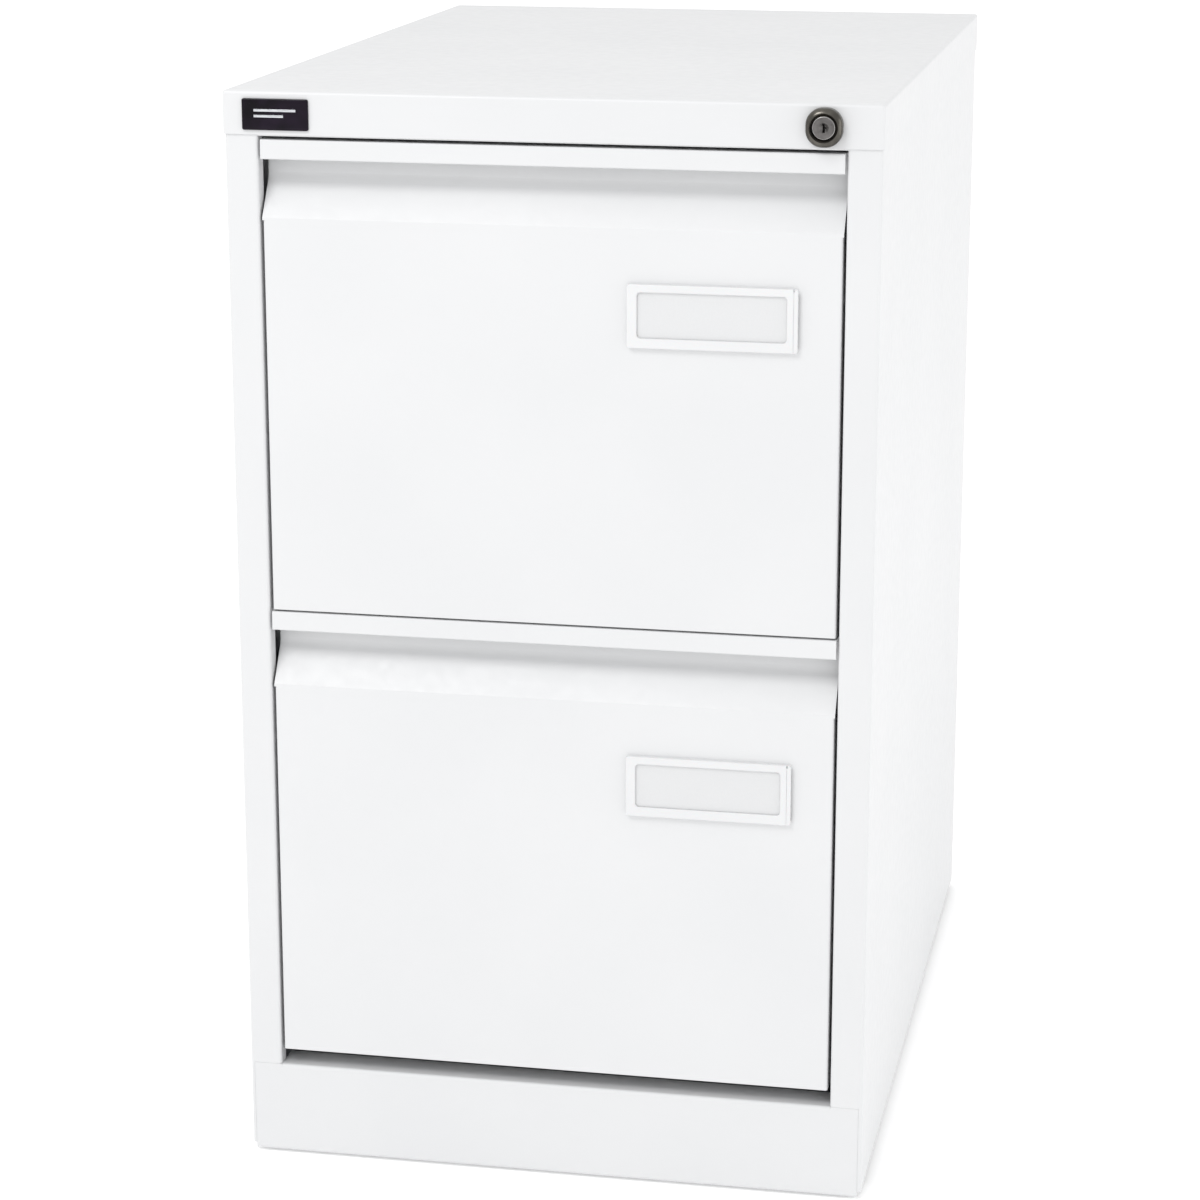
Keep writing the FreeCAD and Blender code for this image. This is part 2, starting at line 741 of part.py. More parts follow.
# ---------------------------------------------------------------- lock

def lock_housing():
    """Square die-cast body with a dished mouth, and the barrel that goes through the cap."""
    x0, z0 = lock_x - LOCK_WIDTH / 2, lock_z - LOCK_HEIGHT / 2
    face = cap_front - LOCK_PROUD
    body = rounded_block(x0, x0 + LOCK_WIDTH, face, cap_front, z0, z0 + LOCK_HEIGHT,
        LOCK_CORNER)
    edge = [e for e in body.Edges if e.BoundBox.YMax < face + LOCK_PROUD / 2]
    body = body.makeFillet(LOCK_EDGE, edge)
    barrel = rod("y", BARREL_RADIUS, lock_x, lock_z, cap_front, cam_line - BARREL_SHORT)
    mouth = Part.makeCone(
        PLUG_RADIUS + MOUTH_FLARE, PLUG_RADIUS + PLUG_FIT, MOUTH_DEPTH, Vector(lock_x, face, lock_z),
        Vector(0, 1, 0))
    bore = rod("y", PLUG_RADIUS + PLUG_FIT, lock_x, lock_z, face - 1, cam_line)
    return joined([body, barrel]).cut(mouth).cut(bore)


def lock_nut():
    """Clamps the lock from behind the top rail."""
    seat = front + SHEET
    nut = hexagon("y", LOCK_NUT_FLATS, lock_x, lock_z, seat, seat + LOCK_NUT_THICK)
    return nut.cut(rod("y", BARREL_RADIUS + LOCK_NUT_FIT, lock_x, lock_z, front, cam_line))


def lock_plug():
    """Turning plug with an upright key slot in a shallow cone."""
    face = cap_front - LOCK_PROUD + PLUG_RECESS
    plug = rod("y", PLUG_RADIUS, lock_x, lock_z, face, cam_line)
    dish = Part.makeCone(
        DISH_RADIUS, DISH_FLOOR, DISH_DEPTH, Vector(lock_x, face, lock_z), Vector(0, 1, 0))
    slot = block(
        lock_x - KEY_SLOT_WIDTH / 2, lock_x + KEY_SLOT_WIDTH / 2, face, face + KEY_SLOT_DEPTH,
        lock_z - KEY_SLOT_HEIGHT / 2, lock_z + KEY_SLOT_HEIGHT / 2)
    return plug.cut(dish).cut(slot)


def crank_pin_place():
    """The crank pin's place with the lock open: right of the plug and below it."""
    reach = lock_travel / 2
    return lock_x + reach, lock_z - reach


def lock_cam():
    """Crank on the plug's tail, with the pin that lifts the locking bar."""
    pin_x, pin_z = crank_pin_place()
    back_line = cam_line + CRANK_THICK
    pin_end = bar_line + LOCK_BAR_THICK + PIN_SPARE
    hub = rod("y", CRANK_HUB, lock_x, lock_z, cam_line, back_line)
    web = block(0, CRANK, 0, CRANK_THICK, -CRANK_END, CRANK_END)
    web.rotate(Vector(0, 0, 0), Vector(0, 1, 0), CRANK_SWING / 2)
    web.translate(Vector(lock_x, cam_line, lock_z))
    end = rod("y", CRANK_END, pin_x, pin_z, cam_line, back_line)
    pin = rod("y", CRANK_PIN, pin_x, pin_z, back_line, pin_end)
    return joined([hub, web, end, pin])


def hook_levels():
    """Underside of each drawer's catch."""
    below = front_height - CATCH_BELOW_TOP - CATCH_HEIGHT
    return lower_level + below, upper_level + below


def lock_bar():
    """Flat bar behind the right post, with a slotted head and a hook for each drawer."""
    pin_x, pin_z = crank_pin_place()
    half = slot_half
    low = hook_levels()[0] - 3 * HOOK_HEIGHT
    head_top = pin_z + half + HEAD_WALL
    bar = block(bar_x, bar_x + LOCK_BAR_THICK, bar_front, bar_back, low, head_top)
    knee = block(bar_x, bar_x + LOCK_BAR_THICK, bar_line, bar_back, head_low, head_top)
    head = block(
        pin_x - half - 2, bar_x + LOCK_BAR_THICK, bar_line, bar_line + LOCK_BAR_THICK,
        head_low, head_top)
    swing = CRANK - lock_travel / 2
    slot = joined([
        rod("y", half, pin_x, pin_z, bar_line - 1, bar_line + 4),
        rod("y", half, pin_x + swing, pin_z, bar_line - 1, bar_line + 4),
        block(pin_x, pin_x + swing, bar_line - 1, bar_line + 4, pin_z - half, pin_z + half),
    ])
    hooks = []
    for level in hook_levels():
        top = level - HOOK_DROP
        hooks.append(block(
            drawer_half + HOOK_FROM_DRAWER, bar_x + LOCK_BAR_THICK, hook_front, bar_back,
            top - HOOK_HEIGHT, top))
    return joined([bar, knee, head.cut(slot)] + hooks)


def lock_bar_guides():
    """Two straps welded to the side skin, each with a square eye for the locking bar."""
    play = PIN_SLOT_PLAY
    wall = GUIDE_WALL
    eye_end = bar_x + LOCK_BAR_THICK + play
    strap_end = skin_inside - SEAM
    y0, y1 = bar_front - play, bar_back + play
    guides = []
    for level in hook_levels():
        z = level + GUIDE_ABOVE_HOOK
        top = z + GUIDE_HEIGHT
        strap = block(bar_x - play - wall, strap_end, y0 - wall, y1 + wall, z, top)
        eye = block(bar_x - play, eye_end, y0, y1, z - 1, top + 1)
        hollow = block(eye_end + wall, strap_end - wall, y0, y1 + 2 * wall, z - 1, top + 1)
        guides.append(strap.cut(eye).cut(hollow))
    return Part.makeCompound(guides)


def lock_catch(base):
    """Angle on the drawer's right side that the locking bar's hook rises in front of."""
    low = base + front_height - CATCH_BELOW_TOP - CATCH_HEIGHT
    near = bar_back + 2 * RUNNING
    high = low + CATCH_HEIGHT
    plate = block(
        drawer_half, drawer_half + CATCH_PLATE, near, near + CATCH_LENGTH, low, high)
    tooth = block(
        drawer_half, drawer_half + CATCH_REACH, near, near + CATCH_TOOTH, low, high)
    return joined([plate, tooth])


# ---------------------------------------------------------------- nodes

def pair(shape):
    return Part.makeCompound([shape, mirrored(shape)])


def carcass_nodes():
    nodes = {
        "top_cap": top_cap(),
        "back_panel": back_panel(),
        "base_pan": base_pan(),
        "plinth": plinth(),
        "top_rail": top_rail(),
        "foot_nuts": foot_nuts(),
        "badge": badge(),
        "lock_housing": lock_housing(),
        "lock_nut": lock_nut(),
        "lock_bar_guides": lock_bar_guides(),
        "runner_screws": runner_screws(),
    }
    front_line, rear_line = upright_lines()
    handed = {
        "side_panel": side_panel(),
        "base_rail": base_rail(),
        "front_upright": upright(front_line),
        "rear_upright": upright(rear_line),
    }
    for name, shape in handed.items():
        nodes[name + "_right"] = shape
        nodes[name + "_left"] = mirrored(shape)
    return nodes


def foot_nodes():
    nodes = {}
    for row, y in zip(("front", "rear"), foot_lines()):
        for side, x in (("right", foot_x()), ("left", -foot_x())):
            shape = foot()
            shape.translate(Vector(x, y, 0))
            nodes[f"foot_{row}_{side}"] = shape
    return nodes


def lock_nodes():
    return {"lock_plug": lock_plug(), "lock_cam": lock_cam(), "lock_bar": lock_bar()}


def drawer_nodes(name, base):
    level = base + RUNNER_LEVEL
    side = drawer_side(base)
    shapes = {
        "front_skin": front_skin(base),
        "front_liner": front_liner(base),
        "drawer_side_right": side,
        "drawer_side_left": mirrored(side),
        "drawer_floor": drawer_floor(base),
        "drawer_back": drawer_end(base),
        "file_rails": file_rails(base),
        "label_holder": label_holder(base),
        "label_card": label_card(base),
        "lock_catch": lock_catch(base),
        "drawer_screws": drawer_screws(level),
        "runner_outer": pair(outer_member(level)),
        "runner_middle": pair(middle_member(level)),
        "runner_inner": pair(inner_member(level)),
        "outer_balls": pair(outer_cage(level)),
        "inner_balls": pair(inner_cage(level)),
    }
    return {f"{name}_{piece}": shape for piece, shape in shapes.items()}


nodes = {}
nodes.update(carcass_nodes())
nodes.update(foot_nodes())
nodes.update(lock_nodes())
nodes.update(drawer_nodes("lower", lower_level))
nodes.update(drawer_nodes("upper", upper_level))

for node, shape in nodes.items():
    shape.exportStep(f"parts/{node}.step")

print("nodes", len(nodes))
print("file rail spacing", 2 * (drawer_half - FILE_RAIL_INSET - FILE_RAIL_THICK / 2))
print("runner length", runner_length, "lock bar travel", lock_travel)
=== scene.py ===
import bmesh
import bpy
import math
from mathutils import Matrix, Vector


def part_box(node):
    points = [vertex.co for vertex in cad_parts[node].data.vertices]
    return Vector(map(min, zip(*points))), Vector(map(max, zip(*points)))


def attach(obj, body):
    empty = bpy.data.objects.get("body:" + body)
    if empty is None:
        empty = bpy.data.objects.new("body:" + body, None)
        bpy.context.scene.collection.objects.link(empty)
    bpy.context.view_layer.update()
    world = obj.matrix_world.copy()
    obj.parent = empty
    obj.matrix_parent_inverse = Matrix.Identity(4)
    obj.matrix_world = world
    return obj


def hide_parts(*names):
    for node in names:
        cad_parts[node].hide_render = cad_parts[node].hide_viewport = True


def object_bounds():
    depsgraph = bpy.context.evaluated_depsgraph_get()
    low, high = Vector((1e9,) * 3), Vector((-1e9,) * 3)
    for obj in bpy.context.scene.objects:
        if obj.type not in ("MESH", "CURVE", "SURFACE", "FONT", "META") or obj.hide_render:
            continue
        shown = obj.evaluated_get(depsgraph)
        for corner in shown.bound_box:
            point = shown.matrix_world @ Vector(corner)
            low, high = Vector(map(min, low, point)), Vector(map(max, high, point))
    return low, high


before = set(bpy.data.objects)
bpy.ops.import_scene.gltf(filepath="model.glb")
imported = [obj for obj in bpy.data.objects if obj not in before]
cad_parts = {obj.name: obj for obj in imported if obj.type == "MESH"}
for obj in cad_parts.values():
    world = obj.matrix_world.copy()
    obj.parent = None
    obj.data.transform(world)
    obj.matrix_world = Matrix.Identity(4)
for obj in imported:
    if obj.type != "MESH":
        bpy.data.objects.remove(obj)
cad_low, cad_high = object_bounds()


# ---------------------------------------------------------------- top cap
# The lid of the cabinet: one steel sheet folded down on all four sides, corners welded
# and dressed flush. It is powder coated white in semi-gloss, with a fine orange peel.

def blank_finish(name):
    """An empty node material: gives back its nodes, its links and its shader."""
    finish = bpy.data.materials.new(name)
    finish.use_nodes = True
    nodes = finish.node_tree.nodes
    return finish, nodes, finish.node_tree.links, nodes["Principled BSDF"]


def speckle(nodes, links, scale, detail=2.0, stretch=(1, 1, 1)):
    """Noise in the cabinet's own coordinates, in cells per metre."""
    place = nodes.new("ShaderNodeTexCoord")
    grow = nodes.new("ShaderNodeMapping")
    noise = nodes.new("ShaderNodeTexNoise")
    grow.inputs["Scale"].default_value = stretch
    noise.inputs["Scale"].default_value = scale
    noise.inputs["Detail"].default_value = detail
    links.new(place.outputs["Object"], grow.inputs["Vector"])
    links.new(grow.outputs["Vector"], noise.inputs["Vector"])
    return noise.outputs["Fac"]


def shades(nodes, links, source, dark, light, low=0.35, high=0.65):
    """Blends from the dark colour to the light one as the source goes from low to high."""
    ramp = nodes.new("ShaderNodeValToRGB")
    ramp.color_ramp.elements[0].position = low
    ramp.color_ramp.elements[0].color = (*dark, 1)
    ramp.color_ramp.elements[1].position = high
    ramp.color_ramp.elements[1].color = (*light, 1)
    links.new(source, ramp.inputs["Fac"])
    return ramp.outputs["Color"]


def spread(nodes, links, source, least, most):
    """Turns a source of 0.3 to 0.7 into a value from least to most."""
    span = nodes.new("ShaderNodeMapRange")
    span.inputs["From Min"].default_value = 0.3
    span.inputs["From Max"].default_value = 0.7
    span.inputs["To Min"].default_value = least
    span.inputs["To Max"].default_value = most
    links.new(source, span.inputs["Value"])
    return span.outputs["Result"]


def relief(nodes, links, height, distance, strength=1.0, under=None):
    """Raises the surface by a height, on top of another relief if there is one."""
    bump = nodes.new("ShaderNodeBump")
    bump.inputs["Distance"].default_value = distance
    bump.inputs["Strength"].default_value = strength
    links.new(height, bump.inputs["Height"])
    if under is not None:
        links.new(under, bump.inputs["Normal"])
    return bump.outputs["Normal"]


def powder_coat(name, dark, light, gloss_low, gloss_high):
    """Powder coat on sheet steel: orange peel over the slight waviness of the sheet."""
    finish, nodes, links, shader = blank_finish(name)
    drift = speckle(nodes, links, 7.0, 3.0)
    peel = speckle(nodes, links, 620.0, 1.5)
    flow = speckle(nodes, links, 150.0, 1.0)
    tint = shades(nodes, links, drift, dark, light)
    wave = relief(nodes, links, speckle(nodes, links, 5.0, 1.0), 0.0016, 0.35)
    skin = relief(nodes, links, flow, 0.00006, 0.5, wave)
    skin = relief(nodes, links, peel, 0.00003, 0.55, skin)
    links.new(tint, shader.inputs["Base Color"])
    links.new(spread(nodes, links, flow, gloss_low, gloss_high), shader.inputs["Roughness"])
    links.new(skin, shader.inputs["Normal"])
    shader.inputs["Specular IOR Level"].default_value = 0.5
    return finish


def dress(finish, *names):
    """Gives made-up steel parts their finish."""
    for name in names:
        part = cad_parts[name].data
        part.materials.clear()
        part.materials.append(finish)


white_coat = powder_coat(
    "white_powder_coat", (0.648, 0.653, 0.661), (0.664, 0.668, 0.675), 0.34, 0.42)
dress(white_coat, "top_cap")


# ---------------------------------------------------------------- nameplate
# A small domed plate of dark resin on the left of the cap's front, stuck on with foam tape.
# It carries no name, only a plain pair of silver bars set into the resin.

def blank_block(name, low, high):
    """A block that fills the box from low to high, ready to be shaped."""
    bpy.ops.object.select_all(action="DESELECT")
    bpy.ops.mesh.primitive_cube_add(size=1, location=(low + high) / 2)
    piece = bpy.context.object
    piece.name = name
    piece.scale = high - low
    bpy.ops.object.transform_apply(location=True, rotation=True, scale=True)
    return piece


def shape_on(piece):
    """Opens a piece for editing, alone."""
    bpy.ops.object.select_all(action="DESELECT")
    bpy.context.view_layer.objects.active = piece
    piece.select_set(True)
    bpy.ops.object.mode_set(mode="EDIT")


def shape_off():
    bpy.ops.object.mode_set(mode="OBJECT")


def pick_faces(piece, rule):
    """Selects only the faces whose middle and normal suit the rule."""
    bpy.ops.mesh.select_mode(type="FACE")
    bpy.ops.mesh.select_all(action="DESELECT")
    shape = bmesh.from_edit_mesh(piece.data)
    for face in shape.faces:
        face.select = rule(face.calc_center_median(), face.normal)
    shape.select_flush_mode()
    bmesh.update_edit_mesh(piece.data)


def pick_edges(piece, rule):
    """Selects only the edges whose two ends suit the rule."""
    bpy.ops.mesh.select_mode(type="EDGE")
    bpy.ops.mesh.select_all(action="DESELECT")
    shape = bmesh.from_edit_mesh(piece.data)
    for edge in shape.edges:
        edge.select = rule(edge.verts[0].co, edge.verts[1].co)
    shape.select_flush_mode()
    bmesh.update_edit_mesh(piece.data)


FRONT = Vector((0, -1, 0))
RIGHT = Vector((1, 0, 0))
UP = Vector((0, 0, 1))
LEAST_EDGE = 0.0005


def facing(way, least=0.9):
    """A rule that picks the faces looking a given way."""
    return lambda middle, normal: normal.dot(way) > least


def front_to_back(a, b):
    """A rule that picks the edges running front to back."""
    return abs(a.y - b.y) > LEAST_EDGE


def finish_off(piece, finish, body, slot, *nodes, angle=35):
    """Smooths a piece, paints it, and lets it ride in place of its plain parts."""
    piece.data.materials.clear()
    piece.data.materials.append(finish)
    bpy.ops.object.select_all(action="DESELECT")
    bpy.context.view_layer.objects.active = piece
    piece.select_set(True)
    bpy.ops.object.shade_smooth_by_angle(angle=math.radians(angle))
    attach(piece, body)
    if nodes:
        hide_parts(*nodes)


plate_low, plate_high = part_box("badge")
PLATE_CORNER = 0.0012
# how far in each step of the dome starts, and how much it rises
PLATE_DOME = ((0.0002, 0.00024), (0.0005, 0.00018), (0.0012, 0.00012), (0.0024, 0.00006))

dome_rise = sum(rise for step, rise in PLATE_DOME)
plate_mid = (plate_low + plate_high) / 2
plate_size = plate_high - plate_low
plate = blank_block(
    "nameplate", plate_low + Vector((0, dome_rise, 0)), plate_high)
shape_on(plate)
pick_edges(plate, front_to_back)
bpy.ops.mesh.bevel(offset=PLATE_CORNER, segments=5, affect="EDGES")
pick_faces(plate, facing(FRONT))
for step, rise in PLATE_DOME:
    bpy.ops.mesh.extrude_region_move(TRANSFORM_OT_translate={"value": (0, -rise, 0)})
    bpy.ops.transform.resize(
        value=(1 - 2 * step / plate_size.x, 1, 1 - 2 * step / plate_size.z),
        center_override=plate_mid)
shape_off()

resin, nodes, links, shader = blank_finish("nameplate_resin")
cloud = speckle(nodes, links, 55.0, 3.0)
links.new(
    shades(nodes, links, cloud, (0.003, 0.002, 0.004), (0.013, 0.007, 0.017)),
    shader.inputs["Base Color"])
links.new(spread(nodes, links, speckle(nodes, links, 400.0), 0.16, 0.24),
          shader.inputs["Roughness"])
links.new(relief(nodes, links, speckle(nodes, links, 120.0), 0.00002, 0.4),
          shader.inputs["Normal"])
shader.inputs["Specular IOR Level"].default_value = 0.05
shader.inputs["Coat Weight"].default_value = 0.18
shader.inputs["Coat Roughness"].default_value = 0.04
finish_off(plate, resin, "carcass", "badge_enamel", "badge", angle=50)

silver, nodes, links, shader = blank_finish("nameplate_silver")
brushed = speckle(nodes, links, 900.0, 2.0, (0.15, 1, 1))
links.new(shades(nodes, links, brushed, (0.52, 0.53, 0.56), (0.68, 0.69, 0.72)),
          shader.inputs["Base Color"])
links.new(spread(nodes, links, brushed, 0.22, 0.34), shader.inputs["Roughness"])
links.new(relief(nodes, links, brushed, 0.00001, 0.5), shader.inputs["Normal"])
shader.inputs["Metallic"].default_value = 1.0

BAR_TALL = 0.0016
BAR_PROUD = 0.00004
BAR_SUNK = 0.0003
BAR_EDGE = 0.00012
# name, height above the plate's middle, length
BARS = (("nameplate_bar_upper", 0.0026, 0.027), ("nameplate_bar_lower", -0.0010, 0.019))
for name, above, length in BARS:
    left = plate_mid.x - BARS[0][2] / 2
    bar = blank_block(
        name,
        Vector((left, plate_low.y - BAR_PROUD, plate_mid.z + above - BAR_TALL / 2)),
        Vector((left + length, plate_low.y + BAR_SUNK, plate_mid.z + above + BAR_TALL / 2)))
    shape_on(bar)
    pick_faces(bar, facing(FRONT))
    bpy.ops.mesh.bevel(offset=BAR_EDGE, segments=2, affect="EDGES")
    shape_off()
    finish_off(bar, silver, "carcass", "badge_enamel")


# ---------------------------------------------------------------- lock
# A die-cast camlock at the right of the cap: a domed, nearly round head in black nickel, a
# barrel through the cap with its nut behind, and the turning plug with its keyway.

head_low, head_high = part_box("lock_housing")
plug_low, plug_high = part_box("lock_plug")
plug_mid = (plug_low + plug_high) / 2
plug_radius = (plug_high.x - plug_low.x) / 2
cap_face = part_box("top_cap")[0].y
HEAD_CORNER = 0.0104
HEAD_DOME = 0.0036
MOUTH_RADIUS = 0.0088
MOUTH_DEPTH = 0.0034
MOUTH_EDGE = 0.0004
BORE_PLAY = 0.0001
CUT_PAST = 0.001  # how far a cutting tool reaches past the surface
BARREL_RADIUS = 0.0086


def blank_rod(name, radius, start, end, sides=64):
    """A round bar from one point to another, ready to be shaped."""
    along = end - start
    bpy.ops.object.select_all(action="DESELECT")
    bpy.ops.mesh.primitive_cylinder_add(
        vertices=sides, radius=radius, depth=along.length, location=(start + end) / 2,
        rotation=along.to_track_quat("Z", "Y").to_euler())
    piece = bpy.context.object
    piece.name = name
    bpy.ops.object.transform_apply(location=True, rotation=True, scale=True)
    return piece


def cut_away(piece, tool):
    """Cuts a tool's shape out of a piece, and puts the tool away."""
    cut = piece.modifiers.new("cut", "BOOLEAN")
    cut.operation = "DIFFERENCE"
    cut.solver = "EXACT"
    cut.object = tool
    bpy.ops.object.select_all(action="DESELECT")
    bpy.context.view_layer.objects.active = piece
    piece.select_set(True)
    bpy.ops.object.modifier_apply(modifier=cut.name)
    bpy.data.objects.remove(tool)


def face_reach(piece, centre):
    """How far the selected faces reach from the lock's axis."""
    shape = bmesh.from_edit_mesh(piece.data)
    return max(
        math.hypot(point.co.x - centre.x, point.co.z - centre.z)
        for point in shape.verts if point.select)


def on_axis(y):
    """A point of the lock's axis."""
    return Vector((plug_mid.x, y, plug_mid.z))


head = blank_block("lock_head", head_low, Vector((head_high.x, cap_face, head_high.z)))
shape_on(head)
pick_edges(head, front_to_back)
bpy.ops.mesh.bevel(offset=HEAD_CORNER, segments=18, affect="EDGES")
pick_faces(head, facing(FRONT))
bpy.ops.mesh.bevel(offset=HEAD_DOME, segments=7, profile=0.42, affect="EDGES")
shape_off()
cut_away(head, blank_rod(
    "bore", plug_radius + BORE_PLAY,
    on_axis(head_low.y - 2 * CUT_PAST), on_axis(cap_face + 2 * CUT_PAST), 96))
cut_away(head, blank_rod(
    "mouth", MOUTH_RADIUS,
    on_axis(head_low.y - 2 * CUT_PAST), on_axis(head_low.y + MOUTH_DEPTH), 96))

def by_radius(nodes, links, start, end, near, far):
    """Blends two colour sockets by the distance from the lock's axis."""
    place = nodes.new("ShaderNodeTexCoord")
    centre = nodes.new("ShaderNodeMapping")
    reach = nodes.new("ShaderNodeVectorMath")
    span = nodes.new("ShaderNodeMapRange")
    blend = nodes.new("ShaderNodeMix")
    centre.inputs["Location"].default_value = (-plug_mid.x, 0, -plug_mid.z)
    centre.inputs["Scale"].default_value = (1, 0, 1)
    reach.operation = "LENGTH"
    span.inputs["From Min"].default_value = start
    span.inputs["From Max"].default_value = end
    blend.data_type = "RGBA"
    links.new(place.outputs["Object"], centre.inputs["Vector"])
    links.new(centre.outputs["Vector"], reach.inputs[0])
    links.new(reach.outputs["Value"], span.inputs["Value"])
    links.new(span.outputs["Result"], blend.inputs[0])
    links.new(near, blend.inputs[6])
    links.new(far, blend.inputs[7])
    return blend.outputs[2]


black_nickel, nodes, links, shader = blank_finish("black_nickel_casting")
smear = speckle(nodes, links, 130.0, 3.0)
bright = shades(nodes, links, smear, (0.070, 0.066, 0.058), (0.130, 0.122, 0.108))
# Inside the mouth's radius the casting is painted near-black: painted shade in the recess round
# the plug.
painted_mouth_shade = shades(nodes, links, smear, (0.004, 0.004, 0.004), (0.014, 0.012, 0.010))
links.new(by_radius(nodes, links, MOUTH_RADIUS - MOUTH_EDGE, MOUTH_RADIUS, painted_mouth_shade, bright),
          shader.inputs["Base Color"])
links.new(spread(nodes, links, smear, 0.15, 0.26), shader.inputs["Roughness"])
links.new(relief(nodes, links, speckle(nodes, links, 700.0), 0.00003, 0.5),
          shader.inputs["Normal"])
shader.inputs["Metallic"].default_value = 1.0
finish_off(head, black_nickel, "carcass", "lock_nickel", "lock_housing")

barrel = blank_rod(
    "lock_barrel", BARREL_RADIUS, on_axis(cap_face), on_axis(head_high.y), 64)
shape_on(barrel)
pick_faces(barrel, lambda middle, normal: abs(normal.y) > 0.9)
bpy.ops.mesh.inset(thickness=BARREL_RADIUS - plug_radius - BORE_PLAY)
bpy.ops.mesh.bridge_edge_loops()
shape_off()


def turned(name, dark, light, centre, rings, along="Y"):
    """Bare turned metal, with fine rings about an axis through the centre."""
    finish, nodes, links, shader = blank_finish(name)
    place = nodes.new("ShaderNodeTexCoord")
    middle = nodes.new("ShaderNodeMapping")
    middle.inputs["Location"].default_value = -centre
    grooves = nodes.new("ShaderNodeTexWave")
    grooves.wave_type = "RINGS"
    grooves.rings_direction = along
    grooves.inputs["Scale"].default_value = rings
    grooves.inputs["Distortion"].default_value = 0.6
    links.new(place.outputs["Object"], middle.inputs["Vector"])
    links.new(middle.outputs["Vector"], grooves.inputs["Vector"])
    stain = speckle(nodes, links, 160.0, 3.0)
    links.new(shades(nodes, links, stain, dark, light), shader.inputs["Base Color"])
    links.new(spread(nodes, links, stain, 0.24, 0.38), shader.inputs["Roughness"])
    links.new(relief(nodes, links, grooves.outputs["Fac"], 0.00002, 0.35),
              shader.inputs["Normal"])
    shader.inputs["Metallic"].default_value = 1.0
    return finish


barrel_metal = turned(
    "lock_barrel_zinc", (0.42, 0.42, 0.43), (0.58, 0.58, 0.60), plug_mid, 400)
finish_off(barrel, barrel_metal, "carcass", "lock_nickel", "lock_housing")

PLUG_RIM = 0.0006
CONE_WIDE = 0.0031
CONE_NARROW = 0.0015
CONE_DEEP = 0.0013
KEYWAY_WIDE = 0.0016
KEYWAY_TALL = 0.0056
KEYWAY_DEEP = 0.012
# where the painted highlight inside the plug's rim starts, and where it is full
RIM_HIGHLIGHT_START = 0.0006
RIM_HIGHLIGHT_FULL = 0.0004
WARD_WIDE = 0.0008
WARD_TALL = 0.0014
plug = blank_rod("lock_plug_turned", plug_radius, on_axis(plug_low.y), on_axis(plug_high.y), 96)
shape_on(plug)
pick_faces(plug, facing(FRONT))
bpy.ops.mesh.bevel(offset=PLUG_RIM, segments=3, affect="EDGES")
pick_faces(plug, facing(FRONT, 0.99))
for wide, deep in ((CONE_WIDE, 0), (CONE_NARROW, CONE_DEEP)):
    bpy.ops.mesh.extrude_region_move(TRANSFORM_OT_translate={"value": (0, deep, 0)})
    scale_to = wide / face_reach(plug, plug_mid)
    bpy.ops.transform.resize(value=(scale_to, 1, scale_to), center_override=plug_mid)
shape_off()
cut_away(plug, blank_block(
    "keyway",
    on_axis(plug_low.y - CUT_PAST) - Vector((KEYWAY_WIDE, 0, KEYWAY_TALL)) / 2,
    on_axis(plug_low.y + KEYWAY_DEEP) + Vector((KEYWAY_WIDE, 0, KEYWAY_TALL)) / 2))
cut_away(plug, blank_block(
    "ward",
    on_axis(plug_low.y - CUT_PAST) + Vector((0, 0, -WARD_TALL / 2)),
    on_axis(plug_low.y + KEYWAY_DEEP) + Vector((KEYWAY_WIDE / 2 + WARD_WIDE, 0, WARD_TALL / 2))))
plug_metal = turned(
    "lock_plug_metal", (0.110, 0.104, 0.102), (0.185, 0.176, 0.172), plug_mid, 900)
nodes, links = plug_metal.node_tree.nodes, plug_metal.node_tree.links
shader = nodes["Principled BSDF"]
face = shader.inputs["Base Color"].links[0].from_socket
# A light ring just inside the plug's rim: a painted highlight along its edge.
painted_rim_highlight = shades(nodes, links, speckle(nodes, links, 300.0), (0.50, 0.49, 0.48), (0.66, 0.65, 0.64))
links.new(by_radius(nodes, links, plug_radius - RIM_HIGHLIGHT_START, plug_radius - RIM_HIGHLIGHT_FULL, face, painted_rim_highlight),
          shader.inputs["Base Color"])
finish_off(plug, plug_metal, "lock_plug", "lock_plug_metal", "lock_plug")


def plated(name, dark, light, grain=90.0):
    """Zinc plating on pressed steel: a soft spangle with a faint blue passivated cast."""
    finish, nodes, links, shader = blank_finish(name)
    place = nodes.new("ShaderNodeTexCoord")
    spangle = nodes.new("ShaderNodeTexVoronoi")
    spangle.inputs["Scale"].default_value = grain
    links.new(place.outputs["Object"], spangle.inputs["Vector"])
    flecks = spangle.outputs["Distance"]
    cloud = speckle(nodes, links, 24.0, 4.0)
    links.new(shades(nodes, links, cloud, dark, light), shader.inputs["Base Color"])
    links.new(spread(nodes, links, flecks, 0.30, 0.46), shader.inputs["Roughness"])
    links.new(relief(nodes, links, speckle(nodes, links, 500.0), 0.00003, 0.4),
              shader.inputs["Normal"])
    shader.inputs["Metallic"].default_value = 1.0
    return finish


bright_zinc = plated("bright_zinc_plate", (0.55, 0.57, 0.60), (0.70, 0.71, 0.73))
dress(bright_zinc, "lock_nut", "lock_cam", "lock_bar", "lock_bar_guides",
      "lower_lock_catch", "upper_lock_catch")


# ---------------------------------------------------------------- body shell
# Side panels with their front posts, the back, and the plinth: folded sheet, welded into
# one shell and coated with the cap.

dress(white_coat, "side_panel_left", "side_panel_right", "back_panel", "plinth", "top_rail")


# ---------------------------------------------------------------- frame inside the shell
# Runner uprights, base pan and base rails: heavier sheet, galvanised, spot welded to the
# shell before it is coated.

